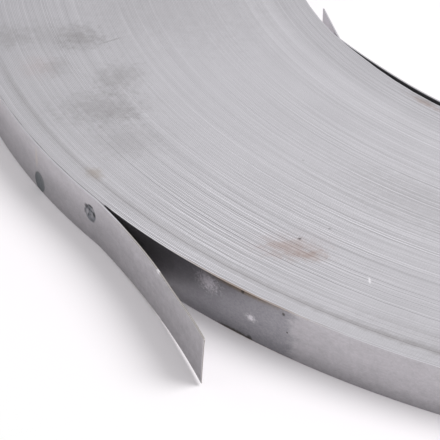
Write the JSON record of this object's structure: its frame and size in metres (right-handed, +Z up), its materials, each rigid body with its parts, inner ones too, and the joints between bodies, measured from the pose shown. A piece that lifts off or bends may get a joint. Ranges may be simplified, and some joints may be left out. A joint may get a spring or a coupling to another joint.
{
  "type": "steel strip coil",
  "caption": "Flat coil of narrow bright steel strip, ribbon wound round an open bore, with its outer end sprung off and its inner end folded.",
  "frame": {"origin": "centre of the coil on the floor that it lies on", "axes": "+Z up along the coil's axis; the viewer's side of the picture is -Y"},
  "size_m": [0.5312, 0.5309, 0.0169],
  "materials": {
    "strip_steel": "bright cold-rolled strip, satin"
  },
  "bodies": {
    "root": {"steel_coil": "strip_steel"}
  },
  "joints": []
}
